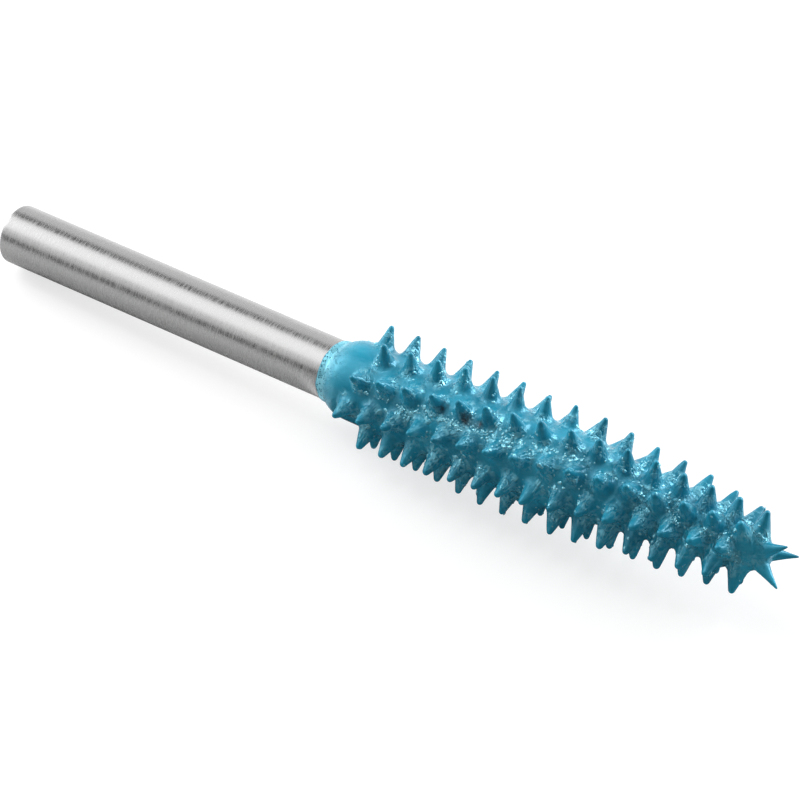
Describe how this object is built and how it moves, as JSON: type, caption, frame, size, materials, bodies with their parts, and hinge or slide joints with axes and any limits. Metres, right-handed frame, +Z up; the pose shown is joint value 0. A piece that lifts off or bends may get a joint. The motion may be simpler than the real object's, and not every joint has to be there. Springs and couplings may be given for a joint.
{
  "type": "rotary rasp",
  "caption": "Rotary rasp with a round steel shank and a tapered round-nosed carbide head covered in rows of pointed teeth.",
  "frame": {"origin": "on the ground under the middle of the tool's box, as it lies at rest", "axes": "+X towards the nose of the head, along the tool as seen from above; +Z up; the tool's axis rises 3 degrees towards the nose"},
  "size_m": [0.0486, 0.0066, 0.0069],
  "materials": {
    "ground_steel": "ground round the shank, satin",
    "blue_carbide": "glossy teal blue coat over fused carbide, finely pitted"
  },
  "bodies": {
    "root": {"shank": "ground_steel", "head": "blue_carbide"}
  },
  "joints": []
}
